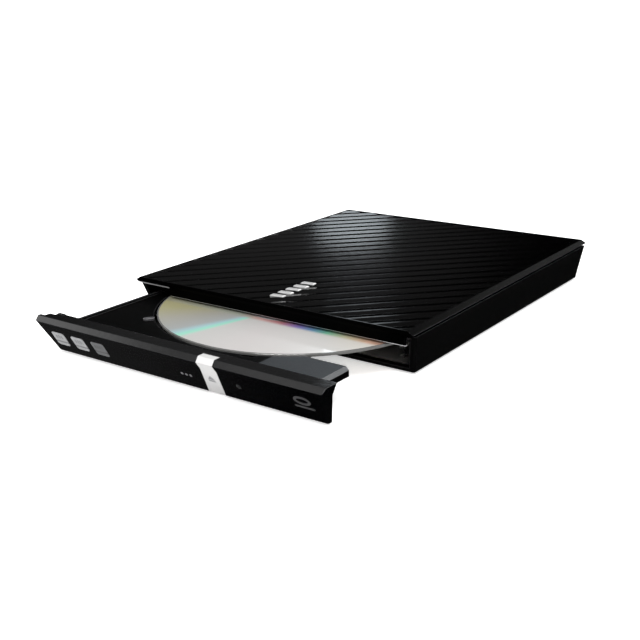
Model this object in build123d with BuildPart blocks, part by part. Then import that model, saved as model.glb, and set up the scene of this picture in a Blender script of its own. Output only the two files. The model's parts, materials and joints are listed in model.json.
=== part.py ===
from build123d import *
import os

os.makedirs("parts", exist_ok=True)

# Slim external optical drive with its tray part way out. Millimetres, +Z up.
# The row frame has its origin under the middle of the whole thing at rest.
# Every section below works in a working frame whose zero is the front edge of the
# cover and the underside of the case: x to the right, d to the rear, h upward.

# Driving dimensions
cover_width = 142.0
cover_depth = 162.0
cover_top_h = 18.8
cover_edge_h = 17.4
cover_under_h = 16.4
cover_side_chamfer = 2.4
cover_end_chamfer = 0.25
ridge_pitch = 8.2
ridge_depth = 0.4
case_top_h = 16.2
case_top_half_width = 70.7
case_bottom_half_width = 67.2
case_wall = 2.3
case_floor = 1.6
foot_drop = 0.8
bezel_front_d = -55.8
bezel_bottom_half_width = 67.3
bezel_top_half_width = 71.0
disc_radius = 60.0
disc_hole_radius = 7.5
disc_thickness = 1.2
disc_bottom_h = 10.5
disc_x = 2.6
disc_d = 23.5
drive_x = 1.0
drive_half_width = 64.0
drive_front_d = 8.0
drive_rear_d = 132.3
drive_bottom_h = 2.4
sheet = 0.6
tray_deck_h = 11.3

# Working planes. base: local (x, d). side: local (d, h). face: local (x, h).
origin = (0, -(cover_depth + bezel_front_d) / 2, foot_drop)
base = Plane(origin=origin, x_dir=(1, 0, 0), z_dir=(0, 0, 1))
side = Plane(origin=origin, x_dir=(0, 1, 0), z_dir=(1, 0, 0))
face = Plane(origin=origin, x_dir=(1, 0, 0), z_dir=(0, -1, 0))

# The pickup runs from the spindle towards the front left corner of the tray.
mech_origin = (disc_x, origin[1] + disc_d, foot_drop)
mech = Plane(origin=mech_origin, x_dir=(-1, -1, 0), z_dir=(0, 0, 1))

foot_places = [(-56, 16.5), (56, 16.5), (-56, 149), (56, 149)]
front_screw_places = [(-60.5, 24), (62, 24)]
rear_screw_places = [(-59, 139), (59, 139)]
lid_screw_places = [(-59.6, 16), (61.6, 16), (-59.6, 125), (61.6, 125)]
sheet_screw_places = [(-53, 41), (24, 41), (24, -24), (-53, -41)]
emblem_places = [(1.0, 10.0 + 5.2 * index) for index in range(5)]
board_screw_places = [(-42, 154), (42, 154)]


def save(piece, label):
    piece.part.label = label
    export_step(piece.part, "parts/" + label + ".step")


def front_line(depth, rear_d):
    # Corner points of the bezel's front skin, moved inward by depth. The chamfer
    # runs out at a depth of 2.2, where the front and the top meet directly.
    if depth > 2.2:
        return [
            (-47.9 + 1.150 * depth, 0.0),
            (-56.82 + 1.718 * depth, 15.7 - depth),
            (rear_d, 15.7 - depth),
        ]
    return [
        (-47.9 + 1.150 * depth, 0.0),
        (-55.8 + 1.256 * depth, 13.9 - 0.187 * depth),
        (-53.9 + 0.398 * depth, 15.7 - depth),
        (rear_d, 15.7 - depth),
    ]


def skin_points(outer, inner, rear_d):
    # Closed outline of a skin that follows the bezel's front between two depths.
    return front_line(outer, rear_d) + front_line(inner, rear_d)[::-1]


def case_half_width(h):
    slope = (case_top_half_width - case_bottom_half_width) / case_top_h
    return case_bottom_half_width + slope * h


# ---------------------------------------------------------------- bottom case
def make_bottom_case():
    with BuildPart(base) as bottom_case:
        with BuildSketch(base):
            with Locations((0, 84.1)):
                RectangleRounded(2 * case_bottom_half_width, 153.6, 0.8)
        with BuildSketch(base.offset(case_top_h)):
            with Locations((0, 81.8)):
                RectangleRounded(2 * case_top_half_width, 158.8, 0.8)
        loft()
        # Inside, open to the top and through the whole front.
        with BuildSketch(base.offset(case_floor)):
            with Locations((0, 69.3)):
                Rectangle(2 * (case_half_width(case_floor) - case_wall), 178.6)
        with BuildSketch(base.offset(case_top_h + 0.1)):
            with Locations((0, 69.4)):
                Rectangle(2 * (case_half_width(case_top_h) - case_wall), 178.8)
        loft(mode=Mode.SUBTRACT)
        # Cross ribs that carry the drive.
        with BuildSketch(base.offset(case_floor)):
            with Locations((0, 40), (0, 78), (0, 120)):
                Rectangle(120, 1.6)
        extrude(amount=drive_bottom_h - case_floor)
        # Screw seats for the drive at the front and bosses for the cover behind it.
        with BuildSketch(base.offset(case_floor)):
            with Locations(*front_screw_places):
                Circle(3.0)
        extrude(amount=drive_bottom_h - case_floor)
        with BuildSketch(base.offset(case_floor)):
            with Locations(*rear_screw_places):
                Circle(3.4)
        extrude(amount=3.4)
        # Posts under the interface board.
        with BuildSketch(base.offset(case_floor)):
            with Locations(*board_screw_places):
                Circle(2.4)
            with Locations((-42, 137), (42, 137)):
                Circle(2.0)
        extrude(amount=1.6)
        with BuildSketch(base.offset(3.2)):
            with Locations(*board_screw_places):
                Circle(0.85)
        extrude(amount=-2.0, mode=Mode.SUBTRACT)
        # Counterbored screw holes and pockets for the feet.
        with BuildSketch(base):
            with Locations(*front_screw_places, *rear_screw_places):
                Circle(2.5)
        extrude(amount=0.9, mode=Mode.SUBTRACT)
        with BuildSketch(base):
            with Locations(*front_screw_places, *rear_screw_places):
                Circle(1.1)
        extrude(amount=5.2, mode=Mode.SUBTRACT)
        with BuildSketch(base):
            with Locations(*foot_places):
                Circle(5.15)
        extrude(amount=0.6, mode=Mode.SUBTRACT)
        # Shallow blank recess in the underside.
        with BuildSketch(base):
            with Locations((0, 88)):
                RectangleRounded(84, 46, 2)
        extrude(amount=0.25, mode=Mode.SUBTRACT)
        # Openings for the two sockets in the rear wall.
        with BuildSketch(face.offset(-165)):
            with Locations((-28, 6.3)):
                RectangleRounded(8.6, 4.8, 0.8)
            with Locations((-8, 7.6)):
                Circle(3.4)
        extrude(amount=9, mode=Mode.SUBTRACT)
    save(bottom_case, "bottom_case")


# ------------------------------------------------------------------ top cover
def make_ridge_cutter():
    # V grooves side by side, running at 45 degrees over the top panel.
    diagonal = Plane(
        origin=(0, origin[1] + cover_depth / 2, foot_drop + cover_top_h),
        x_dir=(-1, 1, 0),
        z_dir=(1, 1, 0),
    )
    half = ridge_pitch / 2
    with BuildPart() as grooves:
        with BuildSketch(diagonal):
            for index in range(-13, 14):
                centre = index * ridge_pitch
                with BuildLine():
                    Polyline(
                        (centre - half * 0.86, 0.3),
                        (centre - half * 0.86, 0.0),
                        (centre, -ridge_depth),
                        (centre + half * 0.86, 0.0),
                        (centre + half * 0.86, 0.3),
                        close=True,
                    )
                make_face()
        extrude(amount=130, both=True)
        with Locations((0, origin[1] + cover_depth / 2, foot_drop + cover_top_h)):
            Box(135.8, 160.2, 4, mode=Mode.INTERSECT)
    return grooves


def emblem_bar(place, grow):
    # One of the plain leaning bars of the emblem.
    x, d = place
    return [
        (x - 3.0 - grow, d - 1.6 - grow),
        (x + 3.0 + grow, d - 0.8 - grow),
        (x + 3.0 + grow, d + 1.6 + grow),
        (x - 3.0 - grow, d + 0.8 + grow),
    ]


def make_top_cover():
    grooves = make_ridge_cutter()
    half_d = cover_depth / 2
    with BuildPart() as top_cover:
        with BuildSketch(base.offset(cover_under_h)):
            with Locations((0, half_d)):
                RectangleRounded(cover_width - 2.8, cover_depth - 0.6, 0.3)
        with BuildSketch(base.offset(cover_edge_h)):
            with Locations((0, half_d)):
                RectangleRounded(cover_width, cover_depth, 0.5)
        loft()
        with BuildSketch(base.offset(cover_edge_h)):
            with Locations((0, half_d)):
                RectangleRounded(cover_width, cover_depth, 0.5)
        with BuildSketch(base.offset(cover_top_h)):
            with Locations((0, half_d)):
                RectangleRounded(
                    cover_width - 2 * cover_side_chamfer, cover_depth - 2 * cover_end_chamfer, 0.3
                )
        loft()
        # Shallow relief in the underside.
        with BuildSketch(base.offset(cover_under_h)):
            with Locations((0, half_d + 3)):
                RectangleRounded(cover_width - 12, cover_depth - 18, 2)
        extrude(amount=0.5, mode=Mode.SUBTRACT)
        # Lip that drops inside the side and rear walls of the case.
        with BuildSketch(base.offset(cover_under_h)):
            with Locations((0, 83.6)):
                Rectangle(2 * 67.7, 148.8)
                Rectangle(2 * 66.5, 146.4, mode=Mode.SUBTRACT)
            with Locations((0, 9.8)):
                Rectangle(133, 2.0, mode=Mode.SUBTRACT)
        extrude(amount=-1.6)
        # Apron above the disc slot, with the taller gap for the tray's left edge.
        with BuildSketch(face.offset(-1.8)):
            with BuildLine():
                Polyline(
                    (67.2, 16.5),
                    (67.2, 12.6),
                    (-50.4, 12.6),
                    (-50.4, 16.2),
                    (-52.3, 16.2),
                    (-54.3, 14.5),
                    (-56.3, 16.2),
                    (-66.6, 16.2),
                    (-66.6, 16.5),
                    close=True,
                )
            make_face()
        extrude(amount=1.5)
        # Tall bosses that take the rear case screws.
        with BuildSketch(base.offset(cover_under_h + 0.6)):
            with Locations(*rear_screw_places):
                Circle(3.0)
        extrude(amount=-(cover_under_h + 0.6 - 5.05))
        with BuildSketch(base.offset(5.05)):
            with Locations(*rear_screw_places):
                Circle(0.95)
        extrude(amount=9, mode=Mode.SUBTRACT)
        add(grooves.part, mode=Mode.SUBTRACT)
        # Seats for the emblem bars.
        with BuildSketch(base.offset(cover_top_h - 0.6)):
            for place in emblem_places:
                with BuildLine():
                    Polyline(*emblem_bar(place, 0.05), close=True)
                make_face()
        extrude(amount=2, mode=Mode.SUBTRACT)
        apron = top_cover.edges().filter_by(Axis.X).filter_by_position(
            Axis.Z, foot_drop + 12.5, foot_drop + 12.7
        )
        chamfer(apron.sort_by(Axis.Y)[0], 0.5)
    save(top_cover, "top_cover")


def make_top_badge():
    with BuildPart() as top_badge:
        with BuildSketch(base.offset(cover_top_h - 0.6)):
            for place in emblem_places:
                with BuildLine():
                    Polyline(*emblem_bar(place, 0.0), close=True)
                make_face()
        extrude(amount=1.0)
        chamfer(top_badge.faces().group_by(Axis.Z)[-1].edges(), 0.3)
    save(top_badge, "top_badge")


# ------------------------------------------------------- feet and case screws
def make_rubber_feet():
    with BuildPart() as rubber_feet:
        with BuildSketch(base.offset(-foot_drop)):
            with Locations(*foot_places):
                Circle(5.0)
        extrude(amount=foot_drop + 0.55)
        fillet(rubber_feet.faces().group_by(Axis.Z)[0].edges(), 0.4)
    save(rubber_feet, "rubber_feet")


def make_screws(label, head_plane, places, head, shank, direction):
    # head and shank are (radius, length); the shank runs from the head along direction.
    with BuildPart() as screws:
        with BuildSketch(head_plane):
            with Locations(*places):
                Circle(head[0])
        extrude(amount=direction * head[1])
        with BuildSketch(head_plane.offset(direction * head[1])):
            with Locations(*places):
                Circle(shank[0])
        extrude(amount=direction * shank[1])
        with BuildSketch(head_plane):
            with Locations(*places):
                Rectangle(head[0] * 1.2, 0.36)
                Rectangle(0.36, head[0] * 1.2)
        extrude(amount=direction * head[1] * 0.6, mode=Mode.SUBTRACT)
    save(screws, label)


def make_case_screws():
    with BuildPart() as case_screws:
        with BuildSketch(base.offset(0.1)):
            with Locations(*front_screw_places, *rear_screw_places):
                Circle(2.15)
        extrude(amount=0.75)
        with BuildSketch(base.offset(0.85)):
            with Locations(*front_screw_places):
                Circle(0.9)
        extrude(amount=3.1)
        with BuildSketch(base.offset(0.85)):
            with Locations(*rear_screw_places):
                Circle(0.9)
        extrude(amount=11)
        with BuildSketch(base.offset(0.1)):
            with Locations(*front_screw_places, *rear_screw_places):
                Rectangle(2.4, 0.45)
                Rectangle(0.45, 2.4)
        extrude(amount=0.45, mode=Mode.SUBTRACT)
    save(case_screws, "case_screws")


# --------------------------------------------------------------- drive chassis
def make_drive_chassis():
    mid_d = (drive_front_d + drive_rear_d) / 2
    length = drive_rear_d - drive_front_d
    with BuildPart(base) as drive_chassis:
        with BuildSketch(base.offset(drive_bottom_h)):
            with Locations((drive_x, mid_d)):
                Rectangle(2 * drive_half_width, length)
        extrude(amount=12.1)
        with BuildSketch(base.offset(drive_bottom_h + sheet)):
            with Locations((drive_x, mid_d - 5)):
                Rectangle(2 * (drive_half_width - sheet), length + 10 - 2 * sheet)
        extrude(amount=12, mode=Mode.SUBTRACT)
        # Folded tabs under the lid screws.
        with BuildSketch(base.offset(13.9)):
            with Locations((-60.4, 16), (62.4, 16), (-60.4, 125), (62.4, 125)):
                Rectangle(4.4, 5.0)
        extrude(amount=sheet)
        with BuildSketch(base.offset(13.9)):
            with Locations(*lid_screw_places):
                Circle(0.86)
        extrude(amount=sheet, mode=Mode.SUBTRACT)
        # Clearance for the mounting screws and stamped windows in the floor.
        with BuildSketch(base.offset(drive_bottom_h)):
            with Locations(*front_screw_places):
                Circle(0.96)
            with Locations((-30, 55), (10, 55)):
                SlotOverall(26, 5)
            with Locations((-30, 88), (10, 88)):
                SlotOverall(26, 5)
        extrude(amount=sheet, mode=Mode.SUBTRACT)
        # Window in the rear wall for the connector.
        with BuildSketch(face.offset(-(drive_rear_d + 1))):
            with Locations((4, 6.2)):
                Rectangle(32, 6.4)
        extrude(amount=2, mode=Mode.SUBTRACT)
        # Post that the latch hooks behind when the tray is shut.
        with BuildSketch(base.offset(drive_bottom_h + sheet)):
            with Locations((40, 11.7)):
                Circle(1.2)
        extrude(amount=3.0)
    save(drive_chassis, "drive_chassis")


def make_drive_top_plate():
    with BuildPart(base) as drive_top_plate:
        with BuildSketch(base.offset(14.5)):
            with Locations((drive_x, 71.0)):
                RectangleRounded(127.6, 122.2, 1.0)
        extrude(amount=sheet)
        with BuildSketch(base.offset(14.5)):
            with Locations(*lid_screw_places):
                Circle(0.95)
        extrude(amount=sheet, mode=Mode.SUBTRACT)
        # Pressed ring over the disc.
        with BuildSketch(base.offset(14.5 + sheet)):
            with Locations((disc_x, 71.2)):
                Circle(50)
                Circle(47, mode=Mode.SUBTRACT)
        extrude(amount=0.3)
        with BuildSketch(base.offset(14.5)):
            with Locations((disc_x, 71.2)):
                Circle(49.4)
                Circle(47.6, mode=Mode.SUBTRACT)
        extrude(amount=0.3, mode=Mode.SUBTRACT)
    save(drive_top_plate, "drive_top_plate")


def make_chassis_screws():
    lid_plane = base.offset(15.6)
    make_screws("chassis_screws", lid_plane, lid_screw_places, (1.6, 0.5), (0.8, 1.8), -1)


def make_guide_channel(label, sign, front_d):
    rear_d = 128.0
    mid_d = (front_d + rear_d) / 2
    length = rear_d - front_d
    with BuildPart(base) as channel:
        with Locations((drive_x + sign * 61.75, mid_d, 7.4)):
            Box(3.1, length, 5.6)
        with Locations((drive_x + sign * 61.35, mid_d, 7.4)):
            Box(2.5, length, 4.2, mode=Mode.SUBTRACT)
        # Raised pads that fix the channel to the chassis floor.
        pad_x = drive_x + sign * 61.9
        with Locations((pad_x, front_d + 16, 3.8), (pad_x, rear_d - 10, 3.8)):
            Box(2.6, 8, 1.6)
    save(channel, label)


def make_inner_rail(label, sign, front_d, rear_d):
    mid_d = (front_d + rear_d) / 2
    length = rear_d - front_d
    with BuildPart(base) as rail:
        with Locations((drive_x + sign * 61.2, mid_d, 7.4)):
            Box(2.4, length, 3.9)
        with Locations((drive_x + sign * 60.9, mid_d, 7.4)):
            Box(2.0, length, 2.9, mode=Mode.SUBTRACT)
    save(rail, label)


# ---------------------------------------------------- boards and rear sockets
def make_drive_pcb():
    with BuildPart(base) as drive_pcb:
        with Locations((-8, 113.5, 3.75)):
            Box(96, 31, 0.8)
        with Locations((-52, 102, 3.75), (36, 102, 3.75)):
            Cylinder(1.2, 2, mode=Mode.SUBTRACT)
    save(drive_pcb, "drive_pcb")
    with BuildPart(base) as drive_pcb_parts:
        with Locations((-26, 112, 4.75)):
            Box(14, 14, 1.2)
        with Locations((-2, 108, 4.6)):
            Box(8, 8, 0.9)
        with Locations((22, 110, 4.55)):
            Box(7, 5, 0.8)
        with Locations((-44, 104, 4.45), (-40, 104, 4.45), (-44, 124, 4.45), (-40, 124, 4.45)):
            Box(2.0, 1.2, 0.6)
        with Locations((14, 102, 4.45), (30, 120, 4.45), (34, 120, 4.45)):
            Box(2.0, 1.2, 0.6)
    save(drive_pcb_parts, "drive_pcb_parts")
    with BuildPart(base) as drive_connector:
        with Locations((4, 127.4, 5.15)):
            Box(28, 7.0, 2.0)
        with Locations((4, 131.6, 5.15)):
            Box(24, 1.8, 1.0)
    save(drive_connector, "drive_connector")


def make_bridge_board():
    with BuildPart(base) as bridge_board:
        with Locations((0, 145.6, 3.75)):
            Box(92, 23, 1.1)
        with BuildSketch(base.offset(3.0)):
            with Locations(*board_screw_places):
                Circle(1.0)
        extrude(amount=3, mode=Mode.SUBTRACT)
    save(bridge_board, "bridge_board")
    with BuildPart(base) as bridge_parts:
        with Locations((16, 146, 4.9)):
            Box(9, 9, 1.2)
        with Locations((30, 147, 4.75)):
            Box(5, 3.2, 0.9)
        with Locations((-18, 142, 5.3)):
            Cylinder(2.4, 2.0)
        with Locations((5, 149, 4.7), (5, 145, 4.7), (24, 141, 4.7), (34, 141, 4.7)):
            Box(2.0, 1.2, 0.8)
    save(bridge_parts, "bridge_parts")
    with BuildPart(base) as bridge_connector:
        with Locations((4, 135.2, 5.9)):
            Box(30, 5.4, 3.2)
        with Locations((4, 133.0, 5.15)):
            Box(25, 2.2, 1.3, mode=Mode.SUBTRACT)
    save(bridge_connector, "bridge_connector")
    make_screws("board_screws", base.offset(5.0), board_screw_places, (1.7, 0.7), (0.8, 2.6), -1)


def make_usb_socket():
    with BuildPart(base) as usb_socket:
        with Locations((-28, 156.0, 6.3)):
            Box(7.8, 9.0, 4.0)
        # Keyed mouth with a contact tongue left inside it.
        with BuildSketch(face.offset(-161)):
            with BuildLine():
                Polyline(
                    (-31.4, 7.9),
                    (-24.6, 7.9),
                    (-24.6, 6.0),
                    (-25.6, 4.9),
                    (-30.4, 4.9),
                    (-31.4, 6.0),
                    close=True,
                )
            make_face()
            with Locations((-28, 6.6)):
                Rectangle(4.6, 0.9, mode=Mode.SUBTRACT)
        extrude(amount=7.4, mode=Mode.SUBTRACT)
    save(usb_socket, "usb_socket")


def make_dc_jack():
    with BuildPart(base) as dc_jack:
        with Locations((-8, 152.6, 7.6)):
            Box(9.0, 11.0, 6.5)
        with BuildSketch(face.offset(-158)):
            with Locations((-8, 7.6)):
                Circle(3.2)
        extrude(amount=-2.4)
        with BuildSketch(face.offset(-160.5)):
            with Locations((-8, 7.6)):
                Circle(1.9)
                Circle(0.65, mode=Mode.SUBTRACT)
        extrude(amount=9, mode=Mode.SUBTRACT)
    save(dc_jack, "dc_jack")


# ------------------------------------------------------------------------ tray
def make_tray():
    with BuildPart(base) as tray:
        # Deep part that carries the mechanism, then the shallow front right plate
        # and the shallow rear bridge that reaches both rails.
        with BuildSketch(base.offset(3.7)):
            with Locations((-14.4, -0.5)):
                Rectangle(88.8, 93)
        extrude(amount=tray_deck_h - 3.7)
        with BuildSketch(base.offset(7.6)):
            with Locations((44.8, -35.75)):
                Rectangle(29.6, 22.5)
        extrude(amount=tray_deck_h - 7.6)
        with BuildSketch(base.offset(6.6)):
            with Locations((drive_x, 61)):
                Rectangle(119.6, 30)
        extrude(amount=tray_deck_h - 6.6)
        right_edge = tray.edges().filter_by(Axis.Y).filter_by_position(Axis.X, 59.4, 59.8)
        chamfer(right_edge.sort_by(Axis.Z)[-1], 1.3)
        # Left margin of the deck and the low wall along it.
        with BuildSketch(base.offset(10.45)):
            with Locations((-60.2, 14.5)):
                Rectangle(4.0, 123)
        extrude(amount=tray_deck_h - 10.45)
        with BuildSketch(base.offset(tray_deck_h)):
            with Locations((-61.65, 14.5)):
                Rectangle(1.1, 123)
        extrude(amount=1.0)
        # Cavities from below.
        with BuildSketch(base.offset(3.7)):
            with Locations((-14.4, -0.5)):
                Rectangle(86.4, 90.6)
        extrude(amount=4.9, mode=Mode.SUBTRACT)
        with BuildSketch(base.offset(7.6)):
            with Locations((44.8, -35.75)):
                Rectangle(27.2, 20.1)
        extrude(amount=1.0, mode=Mode.SUBTRACT)
        with BuildSketch(base.offset(6.6)):
            with Locations((drive_x, 61)):
                Rectangle(117.2, 27.6)
        extrude(amount=2.0, mode=Mode.SUBTRACT)
        # Recesses for a full size and a small disc.
        with BuildSketch(base.offset(tray_deck_h - 1.7)):
            with Locations((disc_x, disc_d)):
                Circle(disc_radius + 1.2)
        extrude(amount=3, mode=Mode.SUBTRACT)
        with BuildSketch(base.offset(tray_deck_h - 2.1)):
            with Locations((disc_x, disc_d)):
                Circle(41)
        extrude(amount=1, mode=Mode.SUBTRACT)
        # Openings for the turntable and for the pickup.
        with BuildSketch(base.offset(8)):
            with Locations((disc_x, disc_d)):
                Circle(15.5)
        extrude(amount=4, mode=Mode.SUBTRACT)
        with BuildSketch(mech.offset(8)):
            with Locations((38, 0)):
                RectangleRounded(50, 21, 3)
        extrude(amount=1.7, mode=Mode.SUBTRACT)
        # Ribs that run in the rails: the whole left side, the rear of the right side.
        with Locations((drive_x - 60.6, 19, 7.45)):
            Box(2.2, 114, 2.3)
        with Locations((drive_x + 60.6, 61, 7.45)):
            Box(2.2, 30, 2.3)
        # Windows in the front wall for the button, the lights and the release pin.
        with BuildSketch(face.offset(48)):
            with Locations((19, 6.0)):
                Rectangle(10, 2.8)
            with Locations((6.65, 6.0)):
                Rectangle(8.5, 2.4)
            with Locations((31.9, 6.9)):
                Circle(1.2)
        extrude(amount=-3, mode=Mode.SUBTRACT)
        # Notch that clears the seat of the button.
        with Locations((18.5, -46.4, 5.15)):
            Box(16.4, 2.4, 3.1, mode=Mode.SUBTRACT)
        # Finger scoops in the rim of the disc recess.
        with BuildSketch(base.offset(tray_deck_h - 1.0)):
            with Locations((22.7, -34.9)):
                SlotOverall(6, 2.6, rotation=18)
            with Locations((56.8, -40.0)):
                SlotOverall(4, 2.0)
        extrude(amount=2, mode=Mode.SUBTRACT)
        # Bosses for the screws that hold the bottom sheet.
        with BuildSketch(base.offset(3.7)):
            with Locations(*sheet_screw_places):
                Circle(2.2)
        extrude(amount=5.0)
        with BuildSketch(base.offset(3.7)):
            with Locations(*sheet_screw_places):
                Circle(0.85)
        extrude(amount=3.6, mode=Mode.SUBTRACT)
        # Pivot of the latch under the front right plate.
        with BuildSketch(base.offset(8.7)):
            with Locations((45.5, -27.5)):
                Circle(1.2)
        extrude(amount=-4.5)
    save(tray, "tray")


def make_disc_tabs():
    with BuildPart() as disc_tabs:
        with BuildSketch(base.offset(tray_deck_h)):
            for angle in (230, 128):
                with Locations((disc_x, disc_d)):
                    with PolarLocations(63.4, 1, start_angle=angle):
                        SlotOverall(4.6, 2.2)
        extrude(amount=0.9)
    save(disc_tabs, "disc_tabs")


def make_tray_under_cover():
    with BuildPart(base) as tray_under_cover:
        with BuildSketch(base.offset(3.3)):
            with Locations((-14.4, 0.35)):
                RectangleRounded(88.6, 91.1, 1)
        extrude(amount=0.38)
        with BuildSketch(base.offset(3.3)):
            with Locations(*sheet_screw_places):
                Circle(0.95)
            with Locations((disc_x, disc_d)):
                Circle(9)
            with Locations((-40, 22), (-40, 30)):
                SlotOverall(18, 3)
        extrude(amount=0.5, mode=Mode.SUBTRACT)
    save(tray_under_cover, "tray_under_cover")
    with BuildPart() as tray_screws:
        with BuildSketch(base.offset(3.12)):
            with Locations(*sheet_screw_places):
                Circle(1.7)
        extrude(amount=0.18)
        with BuildSketch(base.offset(3.3)):
            with Locations(*sheet_screw_places):
                Circle(0.8)
        extrude(amount=3.4)
    save(tray_screws, "tray_screws")


# ----------------------------------------------------------------------- bezel
def bezel_ends():
    # Outline of the bezel seen from the front; the ends lean outward to the top.
    return [
        (-bezel_bottom_half_width, 0),
        (bezel_bottom_half_width, 0),
        (bezel_top_half_width, 15.7),
        (bezel_top_half_width, 17),
        (-bezel_top_half_width, 17),
        (-bezel_top_half_width, 15.7),
    ]


def button_outline(grow):
    # Strip that leans over the front face and runs straight back over the bevel above it.
    return [
        (14.1 - grow, -0.01),
        (22.3 + grow, -0.01),
        (24.2 + grow, 11.3),
        (23.1 + grow, 16.0),
        (15.3 - grow, 16.0),
        (16.4 - grow, 11.3),
    ]


def make_bezel():
    with BuildPart() as button_seat:
        with BuildSketch(side):
            with BuildLine():
                Polyline(*skin_points(1.4, 3.6, -49.4), close=True)
            make_face()
        extrude(amount=60, both=True)
        with BuildSketch(face):
            with BuildLine():
                Polyline(*button_outline(1.6), close=True)
            make_face()
        extrude(amount=80, both=True, mode=Mode.INTERSECT)
    with BuildPart() as button_channel:
        with BuildSketch(side):
            with BuildLine():
                Polyline(*skin_points(-0.5, 2.4, -50.2), close=True)
            make_face()
        extrude(amount=60, both=True)
        with BuildSketch(face):
            with BuildLine():
                Polyline(*button_outline(0.0), close=True)
            make_face()
        extrude(amount=80, both=True, mode=Mode.INTERSECT)
    with BuildPart() as hollow:
        with BuildSketch(side):
            with BuildLine():
                Polyline((-46.74, 1.6), (-53.79, 14.0), (-40, 14.0), (-40, 1.6), close=True)
            make_face()
        extrude(amount=75, both=True)
        with BuildSketch(face):
            with BuildLine():
                Polyline((-65.4, 0), (65.4, 0), (68.6, 15), (-68.6, 15), close=True)
            make_face()
        extrude(amount=80, both=True, mode=Mode.INTERSECT)
    with BuildPart() as bezel:
        with BuildSketch(side):
            with BuildLine():
                Polyline(*front_line(0, -47.8), (-49.0, 11.5), (-45.9, 0.0), close=True)
            make_face()
        extrude(amount=75, both=True)
        with BuildSketch(face):
            with BuildLine():
                Polyline(*bezel_ends(), close=True)
            make_face()
        extrude(amount=80, both=True, mode=Mode.INTERSECT)
        front = bezel.edges().filter_by(lambda e: abs(e.center().X) > 65)
        front = front.filter_by(lambda e: e.length > 12)
        fillet(front.group_by(Axis.Y)[0], 0.7)
        add(hollow.part, mode=Mode.SUBTRACT)
        add(button_seat.part)
        add(button_channel.part, mode=Mode.SUBTRACT)
        # Step in the top edge at the left, and the low clip behind it.
        with BuildSketch(base.offset(14.8)):
            with BuildLine():
                Polyline((-75, -52.6), (-67, -52.4), (-64.8, -49.5), (-64.8, -40), (-75, -40), close=True)
            make_face()
        extrude(amount=3, mode=Mode.SUBTRACT)
        with BuildSketch(face.offset(47.8)):
            with BuildLine():
                Polyline((-68, 14.2), (-65, 16.0), (-62, 16.0), (-55, 14.2), close=True)
            make_face()
        extrude(amount=1.0)
        # Openings for the button stem, the three lights and the release pin.
        with BuildSketch(face.offset(52)):
            with Locations((19, 5.9)):
                Rectangle(4.6, 2.0)
        extrude(amount=-6, mode=Mode.SUBTRACT)
        with BuildSketch(face.offset(56)):
            with Locations((4.5, 5.9), (6.65, 5.9), (8.8, 5.9)):
                Circle(0.62)
            with Locations((31.9, 6.9)):
                Circle(0.75)
        extrude(amount=-9, mode=Mode.SUBTRACT)
        # Bosses that meet the tray's front wall.
        with BuildSketch(base.offset(6.8)):
            with Locations((-50, -49.1), (44, -49.1)):
                Rectangle(8, 3.9)
        extrude(amount=3.2)
    save(bezel, "bezel")


def make_status_lens():
    with BuildPart(base) as status_lens:
        with BuildSketch(face.offset(56)):
            with Locations((4.5, 5.9), (6.65, 5.9), (8.8, 5.9)):
                Circle(0.55)
        extrude(amount=-8.4)
        with BuildSketch(side):
            with BuildLine():
                Polyline((-47.95, 0.0), (-55.85, 13.9), (-40, 13.9), (-40, 0), close=True)
            make_face()
        extrude(amount=30, both=True, mode=Mode.INTERSECT)
        with Locations((6.65, -48.0, 5.9)):
            Box(6.4, 1.6, 1.5)
    save(status_lens, "status_lens")


def make_front_marks():
    # Plain raised pads and a ring, set on the sloping front.
    slope = Plane(
        origin=(0, origin[1] - 47.9, foot_drop),
        x_dir=(1, 0, 0),
        z_dir=(0, -0.8694, -0.4941),
    )
    with BuildPart() as front_marks:
        with BuildSketch(slope.offset(0.02)):
            for x in (-60.8, -49.5, -38.1):
                with Locations((x, 8.0)):
                    RectangleRounded(7.2, 7.2, 1.2)
        extrude(amount=0.13)
        with BuildSketch(slope.offset(0.02)):
            with Locations((60.2, 9.8)):
                Ellipse(3.6, 2.1)
                Ellipse(2.5, 1.1, mode=Mode.SUBTRACT)
            with Locations((60.2, 6.4)):
                SlotOverall(8.4, 0.9)
        extrude(amount=0.13)
    save(front_marks, "front_marks")


def make_eject_button():
    with BuildPart(base) as eject_button:
        with BuildSketch(side):
            with BuildLine():
                Polyline(*skin_points(0.0, 1.4, -51.0), close=True)
            make_face()
        extrude(amount=60, both=True)
        with BuildSketch(face):
            with BuildLine():
                Polyline(*button_outline(-0.12), close=True)
            make_face()
        extrude(amount=80, both=True, mode=Mode.INTERSECT)
        with Locations((19, -47.9, 5.9)):
            Box(4.2, 4.4, 1.5)
    save(eject_button, "eject_button")
    slope = Plane(
        origin=(0, origin[1] - 47.9, foot_drop),
        x_dir=(1, 0, 0),
        z_dir=(0, -0.8694, -0.4941),
    )
    with BuildPart() as button_symbol:
        with BuildSketch(slope.offset(0.02)):
            with Locations((19.4, 7.1)):
                Rectangle(3.0, 0.6)
            with BuildLine():
                Polyline((17.9, 7.9), (20.9, 7.9), (19.4, 9.8), close=True)
            make_face()
        extrude(amount=0.1)
    save(button_symbol, "button_symbol")


def make_switch_board():
    with BuildPart(base) as switch_board:
        with Locations((14.3, -39.6, 4.5)):
            Box(26.6, 11.4, 0.6)
    save(switch_board, "switch_board")
    with BuildPart(base) as tact_switch:
        with Locations((19, -43.0, 5.9)):
            Box(5.0, 3.0, 2.2)
        with Locations((19, -44.75, 5.9)):
            Box(2.0, 0.6, 1.0)
    save(tact_switch, "tact_switch")
    with BuildPart(base) as status_leds:
        with Locations((4.5, -44.6, 5.3), (6.65, -44.6, 5.3), (8.8, -44.6, 5.3)):
            Box(1.5, 1.2, 1.0)
    save(status_leds, "status_leds")


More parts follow.
